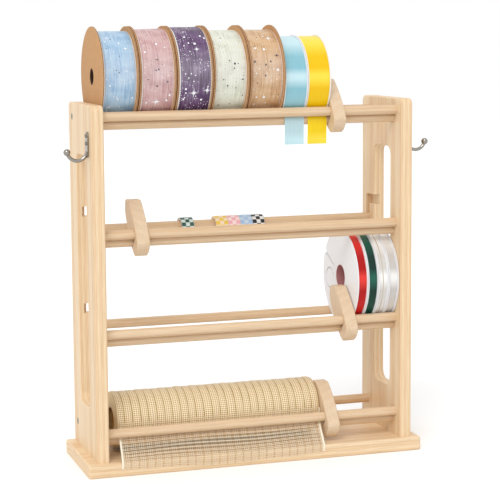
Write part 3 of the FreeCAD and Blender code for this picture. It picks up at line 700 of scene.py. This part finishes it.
def gap_of(tier):
    """Axes of a tier's front and lower dowels, and the radius of a strip between them."""
    front, lower = axis_of("front_rod_tier_" + tier), axis_of("lower_rod_tier_" + tier)
    return front, lower, math.dist(front, lower) / 2


def satin_tail(colour):
    """Loose end of a satin ribbon: through the feed gap and down in front of the lower dowel."""
    node = "satin_tail_" + colour
    low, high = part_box(node)
    front, lower, reach = gap_of("1")
    nip = bearing(front, axis_of("satin_reel_" + colour))
    through = bearing(front, lower)
    path = arc(front, reach, nip, through) + arc(lower, reach, through + math.pi, math.pi)[1:]
    path.append((path[-1][0], low.z))
    points, length = evenly(path, TAIL_STEP)
    width, lean = high.x - low.x, TAIL_LEANS[colour]

    def sway(u, share):
        hanging = max(0.0, share - 0.4) / 0.6
        curl = math.sin(math.pi * u / width) * 0.5 * MM
        return hanging ** 2 * (lean * MM + curl + 0.4 * MM * math.sin(9 * share + u / width))

    mesh = strip_sheet(node + "_cloth", points, low.x, width, 0.3 * MM, 12, sway)
    made = piece(mesh, [TAIL[colour]], node, "satin_ribbon_" + colour)


# ---- third tier, tape, mesh
def narrow_ribbon(colour):
    """Narrow ribbon on its reel."""
    node = "narrow_ribbon_" + colour
    wound_ribbon(node, NARROW[colour], NARROW_HUB, 12, 160, 0.25 * MM, 20, (0.2 * MM, 5))


def tape_roll(colour):
    """Paper tape wound on its board core."""
    node, slot = "tape_roll_" + colour, "paper_tape_" + colour
    low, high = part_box(node)
    axis, radius, bore, core = axis_of(node), radius_of(node), 10.25 * MM, 11.3 * MM
    shape = ripples(high.x - low.x, 0.08 * MM, 4, 0.15 * MM)
    start = math.radians(random.uniform(-80, -20))
    mesh = winding(node + "_wound", low.x, high.x, axis, radius, core, 12, 96, 0.15 * MM, start, shape)
    piece(mesh, [TAPE[colour]], node, slot)
    inset, soft = 0.25 * MM, 0.2 * MM
    profile = [
        (low.x + inset, bore + soft, 0), (low.x + inset, core, 0), (high.x - inset, core, 0),
        (high.x - inset, bore + soft, 0), (high.x - inset - soft, bore, 0),
        (low.x + inset + soft, bore, 0),
    ]
    mesh = lathe(node + "_core", profile, axis, 64)
    piece(mesh, [TAPE_CORE], node, slot, keep_node=True)


def mesh_winding():
    """Wound mesh: puffed between the foil strands, drawn in along them."""
    node = "mesh_winding"
    low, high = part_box(node)
    left = low.x - MESH_OVERHANG
    width, radius = high.x - left, radius_of(node)
    count = round(width / MESH_PITCH)
    creases = [k * width / count + random.uniform(-0.9, 0.9) * MM for k in range(count + 1)]
    creases[0], creases[-1] = 0.0, width
    puffs = [random.uniform(0.55, 1.0) for _ in range(count)]
    turns = [(random.uniform(0, TURN), random.randint(3, 8)) for _ in range(count)]

    def phase(u):
        """Number of the puff at u, and the share of it that lies left of u."""
        for k in range(count):
            if u <= creases[k + 1]:
                return k, (u - creases[k]) / (creases[k + 1] - creases[k])
        return count - 1, 1.0

    def shape(u, angle):
        k, share = phase(u)
        start, beats = turns[k]
        puff = puffs[k] * (1 + 0.3 * math.sin(beats * angle + start))
        wave = 0.12 * math.sin(11 * angle + 3 * k)
        return (math.sin(math.pi * share) ** 0.6 * puff + wave - 0.95) * 0.95 * MM

    def chart(u):
        k, share = phase(u)
        return (k + share) * MESH_PITCH

    mesh = winding(
        "mesh_roll_wound", left, high.x, axis_of(node), radius - 0.3 * MM, MESH_CORE, 8 * count,
        160, 0.8 * MM, math.radians(186), shape, chart,
    )
    piece(mesh, [MESH_WOUND], node, "gold_mesh")


def hem(share):
    """How far the mesh tail's cut end hangs below its middle height, along its width."""
    return (2.2 * math.sin(TURN * 0.9 * share - 1.35) + 0.5 * math.sin(17 * share)) * MM


def drift(share):
    """How far the mesh tail runs to the left of the roll's end, along its length."""
    return -(4.2 * min(1.0, share / 0.34) + 2.8 * max(0.0, share - 0.34) / 0.66) * MM


def pairing(share, j, rows):
    """How far a cross thread of the mesh tail has slid towards its neighbour, in thread spacings."""
    zone = max(0.0, math.sin(math.pi * (j / rows - 0.25) / 0.6))
    return 0.32 * (-1) ** j * zone * (0.7 + 0.3 * math.sin(7 * share + 0.3 * j))


def mesh_path():
    """(y, z) path of the mesh tail's middle, from the roll to its cut end."""
    thickness, soft = 1.1 * MM, 1.3 * MM
    base_low, base_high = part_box("base_board")
    front, lower, reach = gap_of("4")
    roll, on_roll = axis_of("mesh_winding"), radius_of("mesh_winding") - 0.9 * MM
    edge = (base_low.y + soft, base_high.z - soft)
    over = soft + thickness / 2
    through = bearing(front, lower)
    span = math.dist(lower, edge)
    slope = bearing(lower, edge) % TURN - math.acos((reach - over) / span)
    path = arc(roll, on_roll, math.radians(175), math.radians(184))
    path += arc(front, reach, math.radians(-30), through)
    path += arc(lower, reach, through + math.pi, slope)[1:]
    path += arc(edge, over, slope, math.pi)
    path.append((base_low.y - thickness / 2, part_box("mesh_tail")[0].z))
    return path


def crossing_shift(share, j, rows, width):
    """A crossing's place off the mesh tail's path: along its normal, and along the path."""
    hanging = max(0.0, (j - 0.62 * rows) / (0.38 * rows))
    rise = 0.25 * MM * math.sin(TURN * share * width / MESH_PITCH) * min(1.0, 2 * hanging)
    sag = math.sin(9 * share + 0.13 * j) * math.sin(math.pi * j / rows) * 0.9 * MM
    return rise, hem(share) * hanging + sag + pairing(share, j, rows) * MESH_STEP


def mesh_crossings(points, left, width):
    """Where the mesh tail's threads cross, as [column][row], and the sheet's normal at each row."""
    last, columns = len(points) - 1, round(width / MESH_STEP)
    alongs = []
    for j in range(last + 1):
        before, after = points[max(j - 1, 0)], points[min(j + 1, last)]
        alongs.append(Vector((0, after[0] - before[0], after[1] - before[1])).normalized())
    normals = [Vector((0, along.z, -along.y)) for along in alongs]
    grid = []
    for i in range(columns + 1):
        share, column = i / columns, []
        for j, (y, z) in enumerate(points):
            x = left + width * share + drift(j / last)
            rise, slid = crossing_shift(share, j, last + 1, width)
            column.append(Vector((x, y, z)) + normals[j] * rise + alongs[j] * slid)
        grid.append(column)
    return grid, normals


PLAIN, STRAND, SIDE_BAND = range(3)  # kinds of thread in the mesh
HALF_WIDTHS = 0.13, 0.18, 0.5  # of each kind, in thread spacings
HALF_HEIGHT = 0.26 * MM
WEAVE = 0.16 * MM  # how far the threads pass over and under


class Threads:
    """Flat threads of the mesh in one list of points and faces."""

    def __init__(self):
        self.vertices, self.faces, self.slots = [], [], []

    def add(self, points, sides, lifts, kind):
        """One thread; sides are the directions of its width, lifts those of its height."""
        first = len(self.vertices)
        for point, side, lift in zip(points, sides, lifts):
            across, up = side * (MESH_STEP * HALF_WIDTHS[kind]), lift * HALF_HEIGHT
            self.vertices += [point + across, point + up, point - across, point - up]
        last = len(self.vertices) - 4
        for start in range(first, last, 4):
            self.faces += [between(start, start + 4, k, (k + 1) % 4) for k in range(4)]
        self.faces += [tuple(range(start, start + 4)) for start in (first, last)]
        self.slots += [kind] * (len(self.faces) - len(self.slots))


def mesh_tail():
    """Loose end of the mesh as woven threads: white side bands, foil strands, plain threads."""
    low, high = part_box("mesh_winding")
    width = high.x - low.x
    points, length = evenly(mesh_path(), MESH_STEP)
    grid, normals = mesh_crossings(points, low.x, width)
    rows, columns = len(points), len(grid) - 1
    threads = Threads()
    for i, column in enumerate(grid):
        line = [column[j] + normals[j] * WEAVE * (-1) ** (i + j) for j in range(rows)]
        kind = SIDE_BAND if i in (0, columns) else STRAND if i % THREADS == 0 else PLAIN
        threads.add(line, [Vector((1, 0, 0))] * rows, normals, kind)
    for j in range(rows):
        line = [column[j] - normals[j] * WEAVE * (-1) ** (i + j) for i, column in enumerate(grid)]
        before, after = max(j - 1, 0), min(j + 1, rows - 1)
        sides = [(column[after] - column[before]).normalized() for column in grid]
        threads.add(line, sides, [normals[j]] * (columns + 1), PLAIN)
    mesh = build_mesh("mesh_tail_net", threads.vertices, threads.faces, slots=threads.slots, sharp=80.0)
    made = piece(mesh, [THREAD, FOIL_STRAND, SELVEDGE], "mesh_tail", "gold_mesh")


# ---- screws
ROD_SCREW = 8 * MM, 4 * MM, 32 * MM  # diameters of head and shank, length
BASE_SCREW = 8 * MM, 4 * MM, 42 * MM
HOOK_SCREW = 5.6 * MM, 2.6 * MM, 12 * MM
SCREW_STEPS = 48  # points round a screw


def screw_rings(head, shank, length, countersunk):
    """Rings of a screw along +Z with its head at Z = 0, each (radius, z, if the recess cuts it)."""
    sink = (head - shank) / 2
    rise = 0.0 if countersunk else sink
    shares = (0.04, 0.1, 0.16, 0.22, 0.28, 0.34, 0.37, 0.43)
    top = [(head * share, rise * (1 - (2 * share) ** 3), True) for share in shares]
    rim = [(head * 0.5, 0.0, False), (head * 0.5, -0.06 * head, False)]
    neck = [(shank / 2, -sink if countersunk else -0.08 * head, False)]
    thread_rings, z, pitch = [], neck[0][1] - 0.5 * MM, shank * 0.42
    while z - pitch > -length + shank:
        thread_rings += [(shank * 0.5, z, False), (shank * 0.38, z - pitch * 0.35, False)]
        thread_rings += [(shank * 0.38, z - pitch * 0.8, False)]
        z -= pitch
    return top + rim + neck + thread_rings + [(shank * 0.3, -length + shank * 0.7, False)]


def recess(x, y, head):
    """Depth of the cross cut into a screw's head."""
    arm, half, reach = 0.31 * head, 0.075 * head, math.hypot(x, y)
    inside = (abs(x) < half and abs(y) < arm) or (abs(y) < half and abs(x) < arm)
    return 0.24 * head * (1 - 0.55 * reach / arm) if inside else 0.0


def screws(node, places, size, countersunk=True):
    """All screws of a node as one piece; places are (point, direction of the head)."""
    head, shank, length = size
    rings = screw_rings(head, shank, length, countersunk)
    vertices, faces = [], []
    for point, direction in places:
        turn = Vector((0, 0, 1)).rotation_difference(Vector(direction)).to_matrix().to_4x4()
        move = Matrix.Translation(point) @ turn
        first = len(vertices)
        vertices.append(move @ Vector((0, 0, rings[0][1] - recess(0.0, 0.0, head))))
        for radius, z, cut in rings:
            for k in range(SCREW_STEPS):
                angle = TURN * k / SCREW_STEPS
                x, y = radius * math.cos(angle), radius * math.sin(angle)
                depth = recess(x, y, head) if cut else 0.0
                vertices.append(move @ Vector((x, y, z - depth)))
        vertices.append(move @ Vector((0, 0, -length)))
        tip = len(vertices) - 1
        for k in range(SCREW_STEPS):
            after = (k + 1) % SCREW_STEPS
            faces.append((first, first + 1 + k, first + 1 + after))
            faces.append((tip, tip - SCREW_STEPS + after, tip - SCREW_STEPS + k))
            for a in range(first + 1, tip - SCREW_STEPS, SCREW_STEPS):
                b = a + SCREW_STEPS
                faces.append((a + k, b + k, b + after, a + after))
    mesh = build_mesh(node + "_cut", vertices, faces)
    piece(mesh, [ZINC], node, "zinc_screw")


def all_screws():
    """Screws of the dowels, the base board and the hooks, at their CAD places."""
    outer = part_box("side_panel_right")[1].x
    rods = [
        ((sign * outer, *axis_of("rear_rod_tier_" + tier)), (sign, 0, 0))
        for sign in (-1, 1) for tier in "14"
    ]
    screws("rod_screws", rods, ROD_SCREW)
    low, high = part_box("base_screws")
    inset = BASE_SCREW[0] / 2
    feet = [
        ((x, y, low.z), (0, 0, -1))
        for x in (low.x + inset, high.x - inset) for y in (low.y + inset, high.y - inset)
    ]
    screws("base_screws", feet, BASE_SCREW)
    low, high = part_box("hook_screws")
    inset, rise = HOOK_SCREW[0] / 2, 1.5 * MM
    plates = [
        ((x, (low.y + high.y) / 2, z), (math.copysign(1, x), 0, 0))
        for x in (low.x + rise, high.x - rise) for z in (low.z + inset, high.z - inset)
    ]
    screws("hook_screws", plates, HOOK_SCREW, False)


# ---- the finishes in use
PINE_UPRIGHT = pine("pine_upright", PINE, 2, (0.0, 0.01, 0.0))
PINE_BASE = pine("pine_base", PINE, 0, (0.0, 0.03, -0.12))
PINE_LEAF = pine("pine_leaf", LEAF_PINE, 2, (0.0, 0.3, 0.0), 40.0, 3.0, 0.28)
PINE_DOWEL = pine("pine_dowel", DOWEL_PINE, 0, (0.0, 0.2, 0.1), 74.0, 3.0, 0.45)
KRAFT = board("kraft_face", rgb(212, 168, 122), rgb(194, 147, 102))
LINER = board("kraft_liner_edge", rgb(226, 190, 150), rgb(204, 162, 120), 0.3)
# Core layer's edge: its own darker ply tone, darkened further as painted shade of the gap between
# neighbouring reels.
CORE_PLY_AND_GAP_SHADE = board("kraft_core_edge_and_gap_shade", rgb(138, 98, 64), rgb(108, 74, 46))
# Hub and bore: painted near black as the shade inside the bore.
HUB_PAINTED_SHADE = board("kraft_hub_painted_shade", rgb(74, 52, 38), rgb(52, 36, 26))
ROLL_CORE = board("roll_core", rgb(214, 168, 96), rgb(184, 138, 72))
TAPE_CORE = board("tape_core", rgb(232, 190, 180), rgb(214, 168, 158), 0.3)
FOIL = thread("foil_silver", WHITE, rgb(238, 240, 246), 0.25)
# Dark foil marks: painted dark reflection on silver foil.
FOIL_DARK_REFLECTION = thread("foil_painted_dark_reflection", rgb(58, 62, 72), rgb(88, 92, 104), 0.3)
# pale and deep tone of each sheer ribbon, its share of specks and the dark share of these, which is
# painted dark reflection on the foil
SHEER_TONES = {
    "blue": ((166, 196, 220), (128, 166, 200), 0.26, 0.12),
    "pink": ((206, 168, 166), (176, 130, 132), 0.26, 0.35),
    "purple": ((90, 52, 102), (46, 22, 54), 0.5, 0.0),
    "cream": ((222, 224, 208), (196, 198, 180), 0.2, 0.85),
    "tan": ((210, 172, 128), (180, 136, 92), 0.34, 0.3),
}
SHEER = {
    colour: sheer(
        "sheer_" + colour, rgb(*pale), rgb(*deep), radius_of("sheer_ribbon_" + colour),
        share, dark,
    )
    for colour, (pale, deep, share, dark) in SHEER_TONES.items()
}
# silver marks and marks painted dark as reflection, of each ribbon, as (mm from its left side, degrees
# up, reach in mm)
MARKS = {
    "blue": (
        [(10, 58, 3.0), (28, 38, 3.4), (17, -28, 2.2), (22, 47, 1.0), (6, 50, 0.8), (9, -40, 0.9)],
        [(15, 9, 0.6), (18, 6, 0.5), (13, 4, 0.4), (20, 27, 0.5)],
    ),
    "pink": (
        [(18, -32, 5.6), (6, 31, 1.1), (21, 43, 1.3), (30, 37, 2.4), (33, -23, 1.1), (30, -30, 1.2)],
        [(19, 21, 2.2), (17, 8, 0.7), (20, 9, 0.9), (30, -6, 2.2), (18, -11, 1.0)],
    ),
    "purple": (
        [(17.5, -20, 6.2), (33, -17, 5.2), (23, 33, 4.2), (12, 52, 1.3), (22, 41, 1.5),
         (31, 54, 1.3), (15, 42, 1.0), (9, 38, 0.8), (35, 50, 1.1), (8, -15, 1.2), (6, -28, 1.1),
         (27, -29, 1.2), (14, 3, 0.8), (11, -2, 0.8), (17, -6, 0.7), (19, 1, 0.7)],
        [],
    ),
    "cream": (
        [(30, 45, 3.4), (12, 50, 1.2)],
        [(24, 15, 1.2), (18, 19, 0.7), (28, 15, 0.6), (23, 9, 0.8), (15, -13, 0.9), (10, -5, 0.7),
         (33, -5, 0.9), (25, -16, 0.6)],
    ),
    "tan": (
        [(27, 53, 4.6), (22, 58, 2.2), (8, 36, 1.1), (18, 34, 1.4), (8, -30, 1.0), (17, -30, 1.4),
         (32, 6, 1.4), (6, 2, 2.4)],
        [(32, 25, 3.2), (5, 17, 1.2), (24, 17, 1.0), (18, 13, 1.0), (17, -1, 1.0)],
    ),
}
# tones of a satin strip by the share of a turn at which they lie: light bands are painted highlight,
# deep bands painted shade
BANDS = (
    (0.0, "mid"), (0.22, "light"), (0.345, "light"), (0.41, "deep"), (0.455, "deep"),
    (0.48, "light"), (0.495, "light"), (0.53, "deep"), (0.6, "mid"), (0.7, "light"), (1.0, "mid"),
)
# painted highlight and painted shade bands along a satin ribbon's hanging end
TAIL_BANDS = (
    (0.0, "deep"), (0.03, "mid"), (0.09, "mid"), (0.12, "light"), (0.16, "mid"), (1.0, "mid"),
)
# mid, light and deep tone of each satin ribbon, and the mid tone of its hanging end; light is a painted
# highlight tone, deep a painted shade tone
SATIN_TONES = {
    "sky": ((158, 208, 220), (200, 231, 239), (140, 194, 208), (186, 214, 220)),
    "yellow": ((249, 208, 6), (255, 224, 70), (243, 195, 0), (243, 208, 14)),
}
TAIL_LEANS = {"sky": 0.4, "yellow": 0.9}  # mm that the cut end stands forward
# mid, light (painted highlight) and deep (painted shade) tone of each narrow ribbon, and its stripe as
# (mm from, to), tone
NARROW_TONES = {
    "red": ((206, 16, 14), (232, 60, 52), (176, 4, 4), None),
    "green": ((14, 70, 56), (30, 96, 78), (6, 50, 40), ((0.9, 2.0), (36, 100, 86))),
    "white": ((232, 230, 226), (250, 249, 246), (212, 208, 202), ((4.6, 5.8), (196, 186, 172))),
    "sheer": ((226, 224, 220), (244, 243, 240), (204, 200, 196), None),
}
# dark and pale squares of each paper tape
TAPE_TONES = {
    "teal": ((50, 88, 82), (214, 230, 224)),
    "yellow": ((242, 204, 84), (252, 230, 200)),
    "pink": ((246, 182, 192), (252, 228, 226)),
    "blue": ((168, 198, 232), (200, 220, 242)),
    "black": ((30, 30, 32), (236, 236, 236)),
}


def satin_finishes(colour):
    """Finishes of a satin ribbon: wound, and hanging as a loose end."""
    mid, light, deep, hanging = (rgb(*tone) for tone in SATIN_TONES[colour])
    node = "satin_ribbon_" + colour
    low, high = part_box(node)
    radius = radius_of(node)
    wound = dict(mid=mid, light=light, deep=deep)
    loose = dict(mid=hanging, light=light, deep=mid)
    return (
        satin(node, wound, radius, BANDS, high.x - low.x),
        satin("satin_tail_" + colour, loose, radius, TAIL_BANDS, TAIL_WIDTH),
    )


def narrow_finish(colour):
    """Finish of a narrow ribbon, with its stripe if it has one."""
    *tones, stripe = NARROW_TONES[colour]
    node = "narrow_ribbon_" + colour
    low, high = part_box(node)
    names = dict(zip(("mid", "light", "deep"), (rgb(*tone) for tone in tones)))
    line = stripe and (tuple(value * MM for value in stripe[0]), rgb(*stripe[1]))
    # sides painted pale grey as the shade seen through the flanges' slits
    side = rgb(206, 204, 202)
    return satin(node, names, radius_of(node), BANDS, high.x - low.x, line, side)


SATIN, TAIL = {}, {}
for ribbon in SATIN_TONES:
    SATIN[ribbon], TAIL[ribbon] = satin_finishes(ribbon)
NARROW = {colour: narrow_finish(colour) for colour in NARROW_TONES}
TAPE = {
    colour: check_tape("tape_" + colour, rgb(*dark), rgb(*pale))
    for colour, (dark, pale) in TAPE_TONES.items()
}
MESH_WOUND = mesh_winding_material()
THREAD = thread("mesh_thread", rgb(250, 236, 210), rgb(230, 208, 174))
FOIL_STRAND = thread("mesh_foil", rgb(218, 186, 134), rgb(190, 154, 102), 0.3)
SELVEDGE = thread("mesh_selvedge", rgb(252, 246, 228), rgb(240, 230, 204))
PLASTIC = plastic("reel_plastic", rgb(236, 236, 238))
BORED_PLASTIC = plastic(
    "reel_plastic_bored", rgb(238, 238, 240),
    (axis_of("narrow_reel_red"), 14.4 * MM, rgb(188, 130, 132)),
)
STEEL = metal("hook_steel", rgb(168, 163, 156), 0.05)
ZINC = metal("screw_zinc", rgb(150, 146, 138), 0.3)

# by the start of a CAD node's name
NODE_FINISHES = {
    "base_board": PINE_BASE,
    "side_panel": PINE_UPRIGHT,
    "divider": PINE_LEAF,
    "front_rod": PINE_DOWEL,
    "lower_rod": PINE_DOWEL,
    "rear_rod": PINE_DOWEL,
    "hook_left": STEEL,
    "hook_right": STEEL,
    "satin_reel": PLASTIC,
    "narrow_reel": BORED_PLASTIC,
    "mesh_core": ROLL_CORE,
}


def dress_nodes():
    """Gives every CAD node that stays in view its finish."""
    for name, node in frame["nodes"].items():
        for start, finish in NODE_FINISHES.items():
            if name.startswith(start):
                node.data.materials.clear()
                node.data.materials.append(finish)


# ---- stage, light and camera
FLOOR_TONE = 0.9
FLOOR_LIFT = 0.15  # light that only the camera sees
FLOOR_HALF = 6.0
AMBIENT = 0.85
SUN_STRENGTH = 1.15
SUN_ANGLE = 30  # in degrees; wide, for soft shadows
SUN_TOWARDS = (0.5, 0.72, -0.85)


def floor():
    """Pale floor that takes the object's shadow."""
    mesh = bpy.data.meshes.new("floor")
    signs = (-1, -1), (1, -1), (1, 1), (-1, 1)
    corners = [(x * FLOOR_HALF, y * FLOOR_HALF, 0) for x, y in signs]
    mesh.from_pydata(corners, [], [(0, 1, 2, 3)])
    made = added("floor", mesh)
    g = material("floor_white")
    lit = g.node("BsdfDiffuse", {"Color": dimmed(WHITE, FLOOR_TONE)}).outputs[0]
    lift = g.node("Emission", {"Color": WHITE, "Strength": FLOOR_LIFT}).outputs[0]
    bright = g.node("AddShader", {0: lit, 1: lift}).outputs[0]
    rays = g.node("LightPath", {}).outputs
    seen = g.node("MixShader", {0: rays["Is Camera Ray"], 1: lit, 2: bright}).outputs[0]
    g.node("OutputMaterial", {"Surface": seen})
    mesh.materials.append(g.owner)


def world():
    """White surroundings, a little dimmer as light than the camera, gloss and glass see them."""
    studio = bpy.data.worlds.new("studio")
    SCENE.world = studio
    g = Graph(studio)
    rays = g.node("LightPath", {}).outputs
    seen = rays["Is Camera Ray"]
    for name in ("Is Glossy Ray", "Is Transmission Ray"):
        seen = g.math("MAXIMUM", seen, rays[name])
    strength = g.node("MapRange", {"Value": seen, "To Min": AMBIENT, "To Max": 1.0}).outputs[0]
    background = g.node("Background", {"Color": WHITE, "Strength": strength}).outputs[0]
    g.node("OutputWorld", {"Surface": background})


def sun():
    """Soft light from the front left, above."""
    light = bpy.data.lights.new("studio_sun", "SUN")
    light.energy = SUN_STRENGTH
    light.angle = math.radians(SUN_ANGLE)
    made = added("studio_sun", light)
    made.rotation_mode = "QUATERNION"
    made.rotation_quaternion = Vector(SUN_TOWARDS).to_track_quat("-Z", "Y")


CAMERA_PLACE = (-0.58260, -1.79986, 0.50412)
CAMERA_TURNS = 0.2921, 0.1215, -0.0100  # yaw from +Y towards +X, pitch downwards, roll
CAMERA_LENS = 116.375
CAMERA_SHIFT = (0.0840, -0.0498)


def camera():
    """Camera of the photograph's view."""
    yaw, pitch, roll = CAMERA_TURNS
    level = Vector((math.sin(yaw), math.cos(yaw), 0))
    right = Vector((math.cos(yaw), -math.sin(yaw), 0))
    ahead = level * math.cos(pitch) - Vector((0, 0, math.sin(pitch)))
    up = Vector((0, 0, math.cos(pitch))) + level * math.sin(pitch)
    rolled_right = right * math.cos(roll) + up * math.sin(roll)
    rolled_up = up * math.cos(roll) - right * math.sin(roll)
    data = bpy.data.cameras.new("camera")
    data.sensor_width = 36.0
    data.lens = CAMERA_LENS
    data.shift_x, data.shift_y = CAMERA_SHIFT
    data.clip_end = 50.0
    made = added("camera", data)
    turn = Matrix((rolled_right, rolled_up, -ahead)).transposed().to_4x4()
    made.matrix_world = Matrix.Translation(CAMERA_PLACE) @ turn
    SCENE.camera = made


# ---- everything
def goods():
    """All that the rack is loaded with."""
    for colour in SHEER_TONES:
        board_reel("board_reel_" + colour)
        sheer_ribbon(colour)
    for colour in SATIN_TONES:
        satin_ribbon(colour)
        satin_tail(colour)
    for colour in NARROW_TONES:
        narrow_ribbon(colour)
    for colour in TAPE_TONES:
        tape_roll(colour)
    mesh_winding()
    mesh_tail()


SCENE.view_settings.view_transform = "Standard"
random.seed(11)
camera()
world()
sun()
floor()
dress_nodes()
goods()
all_screws()
